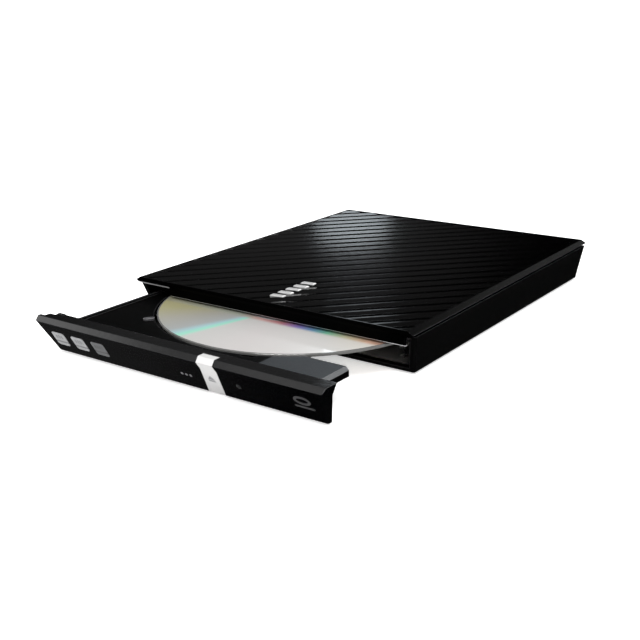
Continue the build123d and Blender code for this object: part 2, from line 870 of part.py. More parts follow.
# --------------------------------------------------- spindle, disc and pickup
def make_motor_base():
    with BuildPart(base) as motor_base:
        with BuildSketch(mech.offset(3.8)):
            with Locations((24, 4.5)):
                RectangleRounded(76, 53, 2)
            with Locations((42, 0)):
                Rectangle(33, 34, mode=Mode.SUBTRACT)
        extrude(amount=0.4)
        with Locations((-14.4, -0.5, 4)):
            Box(85.8, 90.0, 2, mode=Mode.INTERSECT)
        with BuildSketch(base.offset(3.7)):
            with Locations((24, 41), (24, -24)):
                Circle(2.6)
        extrude(amount=1, mode=Mode.SUBTRACT)
    save(motor_base, "motor_base")
    with BuildPart(base) as spindle_stator:
        with BuildSketch(base.offset(4.2)):
            with Locations((disc_x, disc_d)):
                Circle(10.5)
                Circle(2.6, mode=Mode.SUBTRACT)
        extrude(amount=2.2)
        with BuildSketch(base.offset(4.2)):
            with Locations((disc_x, disc_d)):
                with PolarLocations(10.2, 9):
                    Rectangle(3.0, 0.9)
        extrude(amount=2.2, mode=Mode.SUBTRACT)
    save(spindle_stator, "spindle_stator")


def make_spindle_hub():
    with BuildPart(base) as spindle_hub:
        # Rotor cup over the stator, turntable rim and the clamping nose.
        with BuildSketch(base.offset(4.6)):
            with Locations((disc_x, disc_d)):
                Circle(12.4)
        extrude(amount=3.4)
        with BuildSketch(base.offset(4.6)):
            with Locations((disc_x, disc_d)):
                Circle(11.2)
                Circle(2.2, mode=Mode.SUBTRACT)
        extrude(amount=2.4, mode=Mode.SUBTRACT)
        with BuildSketch(base.offset(8.0)):
            with Locations((disc_x, disc_d)):
                Circle(13.0)
        extrude(amount=2.3)
        with BuildSketch(base.offset(10.3)):
            with Locations((disc_x, disc_d)):
                Circle(13.0)
                Circle(10.6, mode=Mode.SUBTRACT)
        extrude(amount=disc_bottom_h - 10.3)
        with BuildSketch(base.offset(10.3)):
            with Locations((disc_x, disc_d)):
                Circle(7.3)
        extrude(amount=2.0)
        nose = spindle_hub.faces().group_by(Axis.Z)[-1].edges()
        chamfer(nose, 0.6)
        # Pockets for the three clamping claws.
        with BuildSketch(base.offset(11.2)):
            with Locations((disc_x, disc_d)):
                with PolarLocations(6.2, 3, start_angle=90):
                    Rectangle(2.6, 2.2)
        extrude(amount=2, mode=Mode.SUBTRACT)
    save(spindle_hub, "spindle_hub")
    with BuildPart(base) as hub_claws:
        with BuildSketch(base.offset(11.25)):
            with Locations((disc_x, disc_d)):
                with PolarLocations(6.15, 3, start_angle=90):
                    Rectangle(2.2, 1.9)
        extrude(amount=0.9)
    save(hub_claws, "hub_claws")


def make_disc():
    with BuildPart() as disc:
        with BuildSketch(base.offset(disc_bottom_h)):
            with Locations((disc_x, disc_d)):
                Circle(disc_radius)
                Circle(disc_hole_radius, mode=Mode.SUBTRACT)
        extrude(amount=disc_thickness)
        fillet(disc.edges().filter_by(GeomType.CIRCLE).sort_by(SortBy.RADIUS)[-2:], 0.25)
        # Stacking ring moulded under the clamping area.
        with BuildSketch(base.offset(disc_bottom_h)):
            with Locations((disc_x, disc_d)):
                Circle(17.4)
                Circle(16.8, mode=Mode.SUBTRACT)
        extrude(amount=-0.2)
    save(disc, "disc")


def make_pickup():
    with BuildPart() as guide_rods:
        with BuildSketch(Plane(mech.from_local_coords((16, 0, 0)), x_dir=(1, -1, 0), z_dir=(-1, -1, 0))):
            with Locations((-19, 6.0), (19, 6.0)):
                Circle(1.4)
        extrude(amount=48)
    save(guide_rods, "guide_rods")
    with BuildPart(mech) as pickup_sled:
        with Locations((35, 0, 6.2)):
            Box(15, 43, 3.8)
        with Locations((35, 23.2, 6.35)):
            Box(5, 4.4, 1.6)
        # Running bores, the pocket under the lens and relief over the base.
        with Locations((35, -19, 6.0), (35, 19, 6.0)):
            Cylinder(1.44, 30, rotation=(0, 90, 0), mode=Mode.SUBTRACT)
        with Locations((35, 0, 8.1)):
            Box(11.4, 15, 1.2, mode=Mode.SUBTRACT)
    save(pickup_sled, "pickup_sled")
    with BuildPart(mech) as laser_unit:
        with Locations((35, -13.0, 8.32)):
            Box(7, 6, 0.42)
    save(laser_unit, "laser_unit")
    with BuildPart(mech) as lens_holder:
        with Locations((35, 0, 8.4)):
            Box(9, 12, 1.0)
        with Locations((35, 0, 8.9)):
            Cylinder(2.6, 0.5, align=(Align.CENTER, Align.CENTER, Align.MIN))
        with Locations((35, 0, 7.8)):
            Cylinder(1.9, 1.75, align=(Align.CENTER, Align.CENTER, Align.MIN), mode=Mode.SUBTRACT)
    save(lens_holder, "lens_holder")
    with BuildPart(mech) as objective_lens:
        with Locations((35, 0, 8.5)):
            Cylinder(1.85, 0.9, align=(Align.CENTER, Align.CENTER, Align.MIN))
        top = objective_lens.faces().sort_by(Axis.Z)[-1].edges()
        fillet(top, 0.55)
    save(objective_lens, "objective_lens")
    with BuildPart(mech) as feed_motor:
        with Locations((8.5, 27, 6.35)):
            Cylinder(2.1, 10.6, rotation=(0, 90, 0))
        with Locations((8.5, 27, 6.35)):
            Cylinder(0.72, 16, rotation=(0, 90, 0), mode=Mode.SUBTRACT)
    save(feed_motor, "feed_motor")
    with BuildPart(mech) as lead_screw:
        with Locations((38.4, 27, 6.35)):
            Cylinder(1.0, 48.0, rotation=(0, 90, 0))
        with Locations((9.0, 27, 6.35)):
            Cylinder(0.68, 10.8, rotation=(0, 90, 0))
    save(lead_screw, "lead_screw")
    with BuildPart(mech) as feed_bearing:
        with Locations((61.2, 27, 5.7)):
            Box(1.4, 3.6, 3.0)
        with Locations((61.2, 27, 6.35)):
            Cylinder(1.05, 4, rotation=(0, 90, 0), mode=Mode.SUBTRACT)
    save(feed_bearing, "feed_bearing")


def make_latch_lever():
    with BuildPart(base) as latch_lever:
        with BuildSketch(base.offset(4.4)):
            with BuildLine():
                Polyline(
                    (47.6, -27.5),
                    (46.6, -25.4),
                    (44.4, -25.4),
                    (43.3, -27.5),
                    (43.3, -32.2),
                    (41.9, -33.0),
                    (41.9, -34.4),
                    (45.4, -34.8),
                    (46.4, -33.0),
                    close=True,
                )
            make_face()
            with Locations((45.5, -27.5)):
                Circle(1.24, mode=Mode.SUBTRACT)
        extrude(amount=1.4)
    save(latch_lever, "latch_lever")


make_bottom_case()
make_top_cover()
make_top_badge()
make_rubber_feet()
make_case_screws()
make_drive_chassis()
make_drive_top_plate()
make_chassis_screws()
make_guide_channel("guide_channel_left", -1, 14.0)
make_guide_channel("guide_channel_right", 1, 27.0)
make_inner_rail("inner_rail_left", -1, -11.0, 100.0)
make_inner_rail("inner_rail_right", 1, 7.0, 100.0)
make_drive_pcb()
make_bridge_board()
make_usb_socket()
make_dc_jack()
make_tray()
make_disc_tabs()
make_tray_under_cover()
make_bezel()
make_status_lens()
make_front_marks()
make_eject_button()
make_switch_board()
make_motor_base()
make_spindle_hub()
make_disc()
make_pickup()
make_latch_lever()
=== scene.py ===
import json
import math

import bmesh
import bpy
from mathutils import Matrix, Vector


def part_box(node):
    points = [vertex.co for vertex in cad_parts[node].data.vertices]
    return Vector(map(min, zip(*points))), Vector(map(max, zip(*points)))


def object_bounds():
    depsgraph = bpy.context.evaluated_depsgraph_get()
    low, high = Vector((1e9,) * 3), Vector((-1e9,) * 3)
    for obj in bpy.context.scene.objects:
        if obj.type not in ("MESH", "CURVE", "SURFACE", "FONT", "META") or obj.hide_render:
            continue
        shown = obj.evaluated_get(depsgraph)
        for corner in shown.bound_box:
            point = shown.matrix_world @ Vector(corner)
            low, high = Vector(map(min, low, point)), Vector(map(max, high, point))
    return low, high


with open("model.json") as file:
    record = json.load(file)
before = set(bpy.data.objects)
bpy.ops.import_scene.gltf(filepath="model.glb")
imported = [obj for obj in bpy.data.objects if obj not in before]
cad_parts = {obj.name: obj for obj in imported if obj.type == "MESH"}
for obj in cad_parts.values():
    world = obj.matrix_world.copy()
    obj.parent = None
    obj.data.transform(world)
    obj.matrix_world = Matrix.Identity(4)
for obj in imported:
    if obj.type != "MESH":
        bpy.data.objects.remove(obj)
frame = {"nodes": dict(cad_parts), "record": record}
nodes = frame["nodes"]
cad_box = [list(c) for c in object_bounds()]

# ------------------------------------------------------------ places in the row frame
cover_lo, cover_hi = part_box("top_cover")
case_lo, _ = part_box("bottom_case")
disc_lo, disc_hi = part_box("disc")
zero = Vector(((cover_lo.x + cover_hi.x) / 2, cover_lo.y, case_lo.z))
disc_mid = (disc_lo + disc_hi) / 2

# In mm, as in at(): the release pinhole, the bezel's rear, the tray's plate at the front right,
# the printed pads at the left and the mark at the right.
pinhole_x, pinhole_h, pinhole_rim = 31.9, 6.9, 0.98
bezel_rear_d = -44.0
plate_left_x, plate_rear_d = 30.5, -24.5
first_pad_x, pad_pitch, third_pad_x = -66.45, 11.35, -43.8
right_mark_x = 40.0

# The viewpoint: its direction in degrees, its distance from a point on the drive in m, and how
# far the picture's middle is moved across and down from that point.
view_azimuth, view_elevation, view_roll = 36.453, 18.369, -1.307
view_distance, view_across, view_down = 0.426456, 0.005948, 0.007044
view_lens = 56.334


def at(x, d, h):
    """A point x mm right of the middle, d mm behind the cover's front edge and h mm above
    the case's underside."""
    return zero + Vector((x, d, h)) / 1000


# ------------------------------------------------------------ node helpers
class Tree:
    """A material's node tree with short ways to add and join nodes."""

    def __init__(self, name):
        self.mat = bpy.data.materials.new(name)
        self.mat.use_nodes = True
        self.tree = self.mat.node_tree
        self.tree.nodes.clear()
        self.out = self.tree.nodes.new("ShaderNodeOutputMaterial")
        self.bsdf = self.tree.nodes.new("ShaderNodeBsdfPrincipled")
        self.tree.links.new(self.bsdf.outputs["BSDF"], self.out.inputs["Surface"])
        self.place = self.tree.nodes.new("ShaderNodeTexCoord").outputs["Object"]

    def put(self, value, socket):
        if hasattr(value, "is_output"):
            self.tree.links.new(value, socket)
        elif isinstance(value, (tuple, list)) and len(value) == 3 and len(socket.default_value) == 4:
            socket.default_value = (*value, 1.0)
        else:
            socket.default_value = value

    def math(self, op, a, b=0.0):
        n = self.tree.nodes.new("ShaderNodeMath")
        n.operation = op
        self.put(a, n.inputs[0])
        self.put(b, n.inputs[1])
        return n.outputs[0]

    def times(self, *factors):
        """The product of all factors. With tests as factors: 1 where all of them hold."""
        result = factors[0]
        for factor in factors[1:]:
            result = self.math("MULTIPLY", result, factor)
        return result

    def under(self, value, limit):
        return self.math("LESS_THAN", value, limit)

    def over(self, value, limit):
        return self.math("GREATER_THAN", value, limit)

    def near(self, value, middle, reach):
        """1 where value is within reach of middle."""
        return self.under(self.math("ABSOLUTE", self.math("SUBTRACT", value, middle)), reach)

    def mix(self, share, a, b):
        n = self.tree.nodes.new("ShaderNodeMix")
        n.data_type = "RGBA"
        self.put(share, n.inputs["Factor"])
        self.put(a, n.inputs[6])
        self.put(b, n.inputs[7])
        return n.outputs[2]

    def blend(self, share, a, b):
        n = self.tree.nodes.new("ShaderNodeMix")
        n.data_type = "FLOAT"
        self.put(share, n.inputs["Factor"])
        self.put(a, n.inputs[2])
        self.put(b, n.inputs[3])
        return n.outputs[0]

    def span(self, value, lo, hi, to_lo=0.0, to_hi=1.0, smooth=False):
        n = self.tree.nodes.new("ShaderNodeMapRange")
        n.interpolation_type = "SMOOTHSTEP" if smooth else "LINEAR"
        self.put(value, n.inputs["Value"])
        self.put(lo, n.inputs["From Min"])
        self.put(hi, n.inputs["From Max"])
        self.put(to_lo, n.inputs["To Min"])
        self.put(to_hi, n.inputs["To Max"])
        return n.outputs[0]

    def ramp(self, value, stops):
        """Colours at their places between 0 and 1."""
        n = self.tree.nodes.new("ShaderNodeValToRGB")
        ends = n.color_ramp.elements
        ends[0].color = (*stops[0][1], 1)
        ends[1].color = (*stops[-1][1], 1)
        for place, colour in stops[1:-1]:
            n.color_ramp.elements.new(place).color = (*colour, 1)
        self.put(value, n.inputs[0])
        return n.outputs[0]

    def scaled(self, scale, turn=(0, 0, 0), shift=(0, 0, 0)):
        n = self.tree.nodes.new("ShaderNodeMapping")
        self.put(self.place, n.inputs["Vector"])
        n.inputs["Location"].default_value = shift
        n.inputs["Rotation"].default_value = turn
        n.inputs["Scale"].default_value = scale
        return n.outputs[0]

    def split(self, vector):
        n = self.tree.nodes.new("ShaderNodeSeparateXYZ")
        self.put(vector, n.inputs[0])
        return n.outputs

    def spot(self):
        """The place as x, d and h in mm, counted as in at()."""
        return [
            self.math("MULTIPLY", self.math("SUBTRACT", here, start), 1000.0)
            for here, start in zip(self.split(self.place), zero)
        ]

    def normal(self):
        return self.tree.nodes.new("ShaderNodeNewGeometry").outputs["Normal"]

    def noise(self, scale, detail=3.0, rough=0.55, vector=None):
        n = self.tree.nodes.new("ShaderNodeTexNoise")
        self.put(vector or self.place, n.inputs["Vector"])
        n.inputs["Scale"].default_value = scale
        n.inputs["Detail"].default_value = detail
        n.inputs["Roughness"].default_value = rough
        return n.outputs["Fac"]

    def cells(self, scale):
        n = self.tree.nodes.new("ShaderNodeTexVoronoi")
        self.put(self.place, n.inputs["Vector"])
        n.inputs["Scale"].default_value = scale
        return n.outputs["Distance"]

    def rounded(self, radius):
        n = self.tree.nodes.new("ShaderNodeBevel")
        n.samples = 4
        n.inputs["Radius"].default_value = radius
        return n.outputs[0]

    def edge(self, radius):
        """0 on flat faces, rising to 1 along sharp edges within radius."""
        dot = self.tree.nodes.new("ShaderNodeVectorMath")
        dot.operation = "DOT_PRODUCT"
        self.put(self.rounded(radius), dot.inputs[0])
        self.put(self.normal(), dot.inputs[1])
        return self.span(dot.outputs["Value"], 0.995, 0.8)

    def bump(self, height, strength, distance, normal=None):
        n = self.tree.nodes.new("ShaderNodeBump")
        n.inputs["Strength"].default_value = strength
        n.inputs["Distance"].default_value = distance
        self.put(height, n.inputs["Height"])
        if normal is not None:
            self.put(normal, n.inputs["Normal"])
        return n.outputs[0]

    def set(self, **values):
        for key, value in values.items():
            self.put(value, self.bsdf.inputs[key.replace("_", " ")])
        return self.mat


def radial(t):
    """Distance from the disc's axis in mm, and the angle round it in turns."""
    x, y, _ = t.split(t.scaled((1, 1, 1), shift=(-disc_mid.x, -disc_mid.y, 0)))
    reach = t.math("SQRT", t.math("ADD", t.math("MULTIPLY", x, x), t.math("MULTIPLY", y, y)))
    turn = t.math("MULTIPLY", t.math("ARCTAN2", y, x), 0.5 / math.pi)
    return t.math("MULTIPLY", reach, 1000.0), turn


# ------------------------------------------------------------ materials
def gloss_black(name):
    """High gloss moulding: faint orange peel, hairline scuffs, dust, rounded edges with a painted
    highlight along them, and a pale ring around the release pinhole."""
    t = Tree(name)
    base = (0.0008, 0.0008, 0.0010)
    corner = 0.00035
    scuff = t.noise(900, 2.0, 0.6, t.scaled((1, 0.05, 1), (0, 0, 0.6)))
    dust = t.span(t.noise(2600, 2.0, 0.7), 0.66, 0.80)
    cloud = t.noise(26, 3.0)
    lighter_edge = t.edge(corner * 1.4)
    colour = t.mix(t.span(cloud, 0.35, 0.7), base, tuple(c * 1.5 for c in base))
    # Painted highlight: the edges are lightened in the colour, as where light catches them.
    colour = t.mix(t.times(lighter_edge, 0.6), colour, (0.05, 0.051, 0.054))
    colour = t.mix(t.times(dust, 0.06), colour, (0.05, 0.05, 0.052))
    # A pale ring round the release pinhole, set in the colour.
    x, d, h = t.spot()
    across = t.math("SUBTRACT", x, pinhole_x)
    above = t.math("SUBTRACT", h, pinhole_h)
    reach = t.math("SQRT", t.math("ADD", t.times(across, across), t.times(above, above)))
    rim = t.times(t.under(reach, pinhole_rim), t.under(d, bezel_rear_d))
    colour = t.mix(rim, colour, (0.05, 0.05, 0.05))
    r = t.span(scuff, 0.4, 0.75, 0.09, 0.16)
    r = t.math("ADD", r, t.times(dust, 0.10))
    r = t.math("ADD", r, t.times(cloud, 0.04))
    peel = t.bump(t.noise(420, 1.0), 0.06, 0.0004, t.rounded(corner))
    return t.set(Base_Color=colour, Roughness=r, Normal=peel, Coat_Weight=0.25, Coat_Roughness=0.08)


def lid_black(name):
    """The ridged lid's gloss. Its front wall is matt, with a painted highlight line along the lower
    edges.
    """
    t = Tree(name)
    x, d, h = t.spot()
    _, ny, nz = t.split(t.normal())
    wall = t.under(ny, -0.5)
    flat = t.over(nz, 0.998)
    slot_edge_highlight = t.times(t.under(h, 12.85), t.under(d, 3.0))
    left_edge_highlight = t.times(t.over(h, 16.25), t.under(h, 16.75), t.under(x, -51.0), t.under(d, 1.2))
    scuff = t.noise(900, 2.0, 0.6, t.scaled((1, 0.05, 1), (0, 0, 0.6)))
    dust = t.span(t.noise(2600, 2.0, 0.7), 0.68, 0.82)
    cloud = t.noise(26, 3.0)
    lighter_edge = t.times(t.edge(0.0004), t.math("SUBTRACT", 1.0, wall))
    colour = t.mix(t.span(cloud, 0.35, 0.7), (0.0004, 0.0004, 0.0005), (0.0007, 0.0007, 0.0008))
    colour = t.mix(t.times(lighter_edge, 0.35), colour, (0.028, 0.029, 0.031))
    colour = t.mix(t.times(dust, 0.06), colour, (0.05, 0.05, 0.052))
    colour = t.mix(wall, colour, (0.0003, 0.0003, 0.0003))
    # Painted highlights: pale lines along the lower edge at the slot and at the left.
    colour = t.mix(slot_edge_highlight, colour, (0.6, 0.6, 0.61))
    colour = t.mix(left_edge_highlight, colour, (0.22, 0.22, 0.225))
    # The lid is duller toward its front, and a little rougher toward its rear.
    rough = t.span(scuff, 0.4, 0.75, 0.11, 0.14)
    rough = t.math("ADD", rough, t.span(d, 60.0, 140.0, 0.0, 0.05))
    rough = t.math("ADD", rough, t.times(dust, 0.08))
    shine = t.blend(t.math("MAXIMUM", wall, t.times(flat, 0.85)), 0.5, 0.03)
    shine = t.times(shine, t.span(d, 15.0, 100.0, 0.45, 1.0, smooth=True))
    peel = t.bump(t.noise(420, 1.0), 0.05, 0.0003, t.rounded(0.0003))
    return t.set(
        Base_Color=colour, Roughness=t.blend(wall, rough, 0.5), Specular_IOR_Level=shine,
        Coat_Weight=t.blend(wall, 0.10, 0.0), Coat_Roughness=0.14, Normal=peel,
    )


def satin_black(name):
    """Fine spark-eroded moulding texture with rubbed edges."""
    t = Tree(name)
    base = (0.0009, 0.0009, 0.001)
    corner = 0.0003
    texture = t.cells(5200)
    fine = t.noise(3120, 2.0, 0.6)
    cloud = t.noise(34, 4.0)
    lighter_edge = t.edge(corner * 1.6)
    colour = t.mix(t.span(cloud, 0.3, 0.75), base, tuple(c * 1.7 for c in base))
    colour = t.mix(t.times(lighter_edge, 0.55), colour, (0.035, 0.036, 0.038))
    r = t.span(fine, 0.3, 0.7, 0.37, 0.50)
    r = t.math("SUBTRACT", r, t.times(lighter_edge, 0.12))
    height = t.math("ADD", texture, t.times(fine, 0.7))
    return t.set(
        Base_Color=colour, Roughness=r, Specular_IOR_Level=0.2,
        Normal=t.bump(height, 0.25, 0.00006, t.rounded(corner)),
    )


def tray_plastic(name):
    """Satin moulding, finely grained. The top of the plate in front of the disc on the right has a
    painted sheen of light, and the edges have painted highlights.
    """
    t = Tree(name)
    x, d, _ = t.spot()
    _, _, upward = t.split(t.normal())
    lit_plate_top = t.times(t.over(x, plate_left_x), t.under(d, plate_rear_d), t.over(upward, 0.3))
    texture = t.cells(4200)
    fine = t.noise(3000, 2.0, 0.6)
    cloud = t.noise(40, 4.0)
    # Painted highlight colour for the edges, lighter on the plate's top.
    edge_highlight_colour = t.mix(lit_plate_top, (0.10, 0.10, 0.105), (0.3, 0.3, 0.305))
    # Painted sheen: the plate's top is lighter in the colour where light falls on it.
    colour = t.mix(lit_plate_top, (0.0004, 0.0004, 0.0005), (0.033, 0.037, 0.041))
    colour = t.mix(t.span(cloud, 0.3, 0.8, 0.0, 0.06), colour, (0.02, 0.02, 0.021))
    # Painted highlight along the edges.
    colour = t.mix(t.times(t.edge(0.0005), 0.6), colour, edge_highlight_colour)
    height = t.math("ADD", texture, t.times(fine, 0.7))
    return t.set(
        Base_Color=colour, Roughness=t.span(fine, 0.3, 0.7, 0.34, 0.46),
        Specular_IOR_Level=t.blend(lit_plate_top, 0.12, 0.5),
        Normal=t.bump(height, 0.22, 0.00006, t.rounded(0.0003)),
    )


def marks_material(name):
    """Printed pads at the left, the third one duller, and a darker grey mark at the right."""
    t = Tree(name)
    x, _, h = t.spot()
    ink = t.noise(1500, 3.0, 0.6)
    colour = t.mix(t.over(x, third_pad_x), (0.37, 0.375, 0.38), (0.15, 0.152, 0.155))
    # Plain bars and a rule pressed into the pads. Place runs from 0 to 1 over each pad's pitch.
    place = t.math("FRACT", t.times(t.math("SUBTRACT", x, first_pad_x), 1 / pad_pitch))
    stripes = t.under(t.math("FRACT", t.times(x, 0.72)), 0.42)
    bars = t.times(stripes, t.near(place, 0.5, 0.21), t.near(h, 7.9, 0.85))
    rule = t.near(h, 5.5, 0.28)
    colour = t.mix(t.times(t.math("MAXIMUM", bars, rule), 0.72), colour, (0.03, 0.03, 0.032))
    colour = t.mix(t.over(x, right_mark_x), colour, (0.045, 0.045, 0.047))
    colour = t.mix(t.span(ink, 0.3, 0.7, 0.0, 0.3), colour, (0.1, 0.1, 0.1))
    return t.set(
        Base_Color=colour, Roughness=t.span(ink, 0.3, 0.7, 0.3, 0.45), Metallic=0.1,
        Normal=t.bump(ink, 0.1, 0.00003, t.rounded(0.00006)),
    )


def metal(name, base, rough, brushed):
    """Sheet or machined metal with drawn streaks, dull patches and brighter edges."""
    t = Tree(name)
    corner = 0.0002
    streak = t.noise(140, 3.0, 0.6, t.scaled(brushed))
    dull = t.noise(60, 3.0)
    lighter_edge = t.edge(corner * 1.4)
    colour = t.mix(t.span(dull, 0.3, 0.7), tuple(c * 0.72 for c in base), base)
    colour = t.mix(t.times(lighter_edge, 0.3), colour, tuple(min(1, c * 1.3) for c in base))
    r = t.span(streak, 0.3, 0.7, rough - 0.07, rough + 0.1)
    r = t.math("ADD", r, t.times(dull, 0.08))
    return t.set(
        Base_Color=colour, Metallic=1.0, Roughness=r,
        Normal=t.bump(streak, 0.12, 0.00004, t.rounded(corner)),
    )


def plastic(name, base, rough, spread):
    """Small moulded plastic parts: tone changes, fine grain and rubbed edges."""
    t = Tree(name)
    cloud = t.noise(120, 3.0)
    fine = t.noise(3000, 2.0, 0.65)
    lighter_edge = t.edge(0.0003)
    colour = t.mix(t.span(cloud, 0.3, 0.7), base, tuple(min(1, c * spread) for c in base))
    light = tuple(min(1, c * 1.5 + 0.03) for c in base)
    colour = t.mix(t.times(lighter_edge, 0.4), colour, light)
    r = t.span(fine, 0.3, 0.7, rough - 0.06, rough + 0.08)
    return t.set(
        Base_Color=colour, Roughness=r, Normal=t.bump(fine, 0.15, 0.00005, t.rounded(0.0002))
    )


def board(name):
    """Circuit board: solder mask over copper tracks, tinned pads and via dots."""
    t = Tree(name)
    x, y, _ = t.split(t.place)
    track_x = t.math("FRACT", t.times(x, 520.0))
    track_y = t.math("FRACT", t.times(y, 410.0))
    zone = t.over(t.noise(150, 0.0), 0.5)
    lines = t.blend(zone, t.under(track_x, 0.42), t.under(track_y, 0.42))
    via = t.under(t.cells(330), 0.16)
    base = t.mix(lines, (0.004, 0.034, 0.014), (0.010, 0.085, 0.030))
    colour = t.mix(via, base, (0.55, 0.45, 0.22))
    r = t.blend(via, t.span(t.noise(900), 0.3, 0.7, 0.25, 0.4), 0.35)
    height = t.math("ADD", t.times(lines, 0.5), via)
    return t.set(
        Base_Color=colour, Metallic=t.times(via, 0.8), Roughness=r,
        Normal=t.bump(height, 0.35, 0.00005),
    )


def rubber(name):
    """Matt rubber with soft clouding and settled dust."""
    t = Tree(name)
    cloud = t.noise(300, 4.0, 0.7)
    dust = t.span(t.noise(1800, 2.0), 0.55, 0.8)
    colour = t.mix(t.span(cloud, 0.3, 0.7), (0.008, 0.008, 0.0085), (0.02, 0.02, 0.021))
    colour = t.mix(t.times(dust, 0.35), colour, (0.07, 0.068, 0.064))
    r = t.span(cloud, 0.3, 0.7, 0.62, 0.85)
    return t.set(Base_Color=colour, Roughness=r, Normal=t.bump(cloud, 0.3, 0.0001, t.rounded(0.0003)))


def silver_paint(name, base, metallic=0.1, rough=0.4, fade=0.0):
    """Metallic paint: fine flake sparkle, soft clouding, slightly rubbed edges and, if asked,
    a darker tone toward the foot."""
    t = Tree(name)
    flake = t.cells(5200)
    cloud = t.noise(90, 3.0)
    lighter_edge = t.edge(0.0003)
    colour = t.mix(t.span(cloud, 0.3, 0.7), tuple(c * 0.9 for c in base), base)
    colour = t.mix(t.span(flake, 0.1, 0.6, 0.0, 0.25), colour, tuple(min(1, c * 1.22) for c in base))
    colour = t.mix(t.times(lighter_edge, 0.5), colour, (0.9, 0.9, 0.9))
    if fade:
        _, _, h = t.spot()
        colour = t.mix(t.span(h, 0.0, 15.0, fade, fade * 0.4), colour, (0.02, 0.02, 0.02))
    r = t.span(flake, 0.0, 0.7, rough - 0.06, rough + 0.1)
    return t.set(
        Base_Color=colour, Metallic=metallic, Roughness=r, Coat_Weight=0.3,
        Normal=t.bump(flake, 0.08, 0.00004, t.rounded(0.0003)),
    )


# Tints of the data area, with painted rainbow colours and painted reflected light, by angle round
# the axis, in turns. The ramp closes on its first colour.
disc_tints_and_painted_light = [
    (0.000, (0.62, 0.62, 0.59)),
    (0.100, (0.50, 0.51, 0.47)),
    (0.140, (0.26, 0.34, 0.62)),
    (0.155, (0.20, 0.58, 0.50)),
    (0.190, (0.70, 0.69, 0.66)),
    (0.420, (0.74, 0.72, 0.69)),
    (0.500, (0.60, 0.50, 0.44)),
    (0.555, (0.42, 0.39, 0.18)),
    (0.600, (0.41, 0.39, 0.20)),
    (0.640, (0.40, 0.39, 0.33)),
    (0.682, (0.40, 0.42, 0.42)),
    (0.694, (0.40, 0.62, 0.66)),
    (0.703, (0.34, 0.80, 0.62)),
    (0.712, (0.62, 0.62, 0.60)),
    (0.780, (0.67, 0.64, 0.63)),
    (0.880, (0.70, 0.69, 0.67)),
    (0.930, (0.80, 0.76, 0.68)),
    (1.000, (0.62, 0.62, 0.59)),
]
# Colours of a painted shadow with a painted rainbow fringe under the cover's front edge, from
# left to right.
painted_shadow_fringe = [
    (0.00, (0.30, 0.29, 0.20)),
    (0.40, (0.34, 0.36, 0.30)),
    (0.50, (0.55, 0.30, 0.27)),
    (0.58, (0.40, 0.12, 0.14)),
    (0.65, (0.16, 0.10, 0.42)),
    (0.71, (0.06, 0.22, 0.40)),
    (0.77, (0.10, 0.42, 0.26)),
    (0.84, (0.48, 0.46, 0.28)),
    (0.93, (0.62, 0.36, 0.24)),
    (1.00, (0.30, 0.14, 0.10)),
]


def disc_material(name):
    """Recordable disc: clear hub, mirror band, faintly tinted data area with fine tracks and
    painted rainbow colours and painted reflected light along radial wedges, a painted shadow with
    a painted rainbow fringe under the cover's front edge, and a clear rim. Its radii are in mm."""
    t = Tree(name)
    reach, turn = radial(t)
    data = t.times(t.over(reach, 23.0), t.under(reach, 59.3))
    hub = t.under(reach, 17.0)
    rim = t.over(reach, 40.0)
    stacking_ring = t.near(reach, 22.2, 0.25)
    drift = t.noise(18, 2.0)
    rings = t.math("FRACT", t.times(reach, 1.7))
    # The data area's tint with painted rainbow colours and painted reflected light, fixed round the
    # axis.
    colour = t.ramp(t.math("FRACT", t.math("ADD", turn, 1.0)), disc_tints_and_painted_light)
    colour = t.mix(t.span(drift, 0.3, 0.7, 0.0, 0.08), colour, (0.70, 0.66, 0.66))
    colour = t.mix(t.span(rings, 0.0, 1.0, 0.0, 0.05), colour, (0.9, 0.9, 0.9))
    # A painted shadow with a painted rainbow fringe under the cover's front edge. It fades in at the
    # slot and out again behind it.
    x, d, _ = t.spot()
    painted_shadow_band = t.times(
        t.span(d, -3.6, -0.6, smooth=True),
        t.span(d, 3.0, 9.0, 1.0, 0.0, smooth=True),
    )
    colour = t.mix(t.times(painted_shadow_band, 0.9), colour, t.ramp(t.span(x, -58.0, 60.0), painted_shadow_fringe))
    plain = t.mix(hub, t.mix(rim, (0.62, 0.62, 0.63), (0.16, 0.16, 0.155)), (0.42, 0.43, 0.45))
    colour = t.mix(data, plain, colour)
    colour = t.mix(stacking_ring, colour, (0.25, 0.25, 0.26))
    colour = t.mix(t.span(t.noise(1500, 2.0), 0.3, 0.7, 0.0, 0.04), colour, (0.5, 0.5, 0.5))
    r = t.blend(data, 0.08, t.span(t.noise(260, 2.0), 0.3, 0.7, 0.19, 0.23))
    tracks = t.math("SINE", t.times(reach, 40.0))
    # The gloss stretches across the tracks, so its tangent runs round the axis.
    angle = t.times(turn, 2 * math.pi)
    tangent = t.tree.nodes.new("ShaderNodeCombineXYZ")
    t.put(t.times(t.math("SINE", angle), -1.0), tangent.inputs[0])
    t.put(t.math("COSINE", angle), tangent.inputs[1])
    return t.set(
        Base_Color=colour, Metallic=t.blend(hub, 0.25, 0.1), Roughness=r, Anisotropic=0.72,
        Tangent=tangent.outputs[0], Coat_Weight=0.6, Coat_Roughness=0.04,
        Normal=t.bump(tracks, 0.03, 0.00001),
    )


def glassy(name, tint, rough):
    """Small clear tinted parts."""
    t = Tree(name)
    cloud = t.noise(900, 2.0)
    colour = t.mix(t.span(cloud, 0.3, 0.7), tuple(c * 0.85 for c in tint), tint)
    return t.set(
        Base_Color=colour, Roughness=t.span(cloud, 0.3, 0.7, rough, rough + 0.08),
        Transmission_Weight=0.25, IOR=1.49, Normal=t.bump(cloud, 0.05, 0.00005),
    )


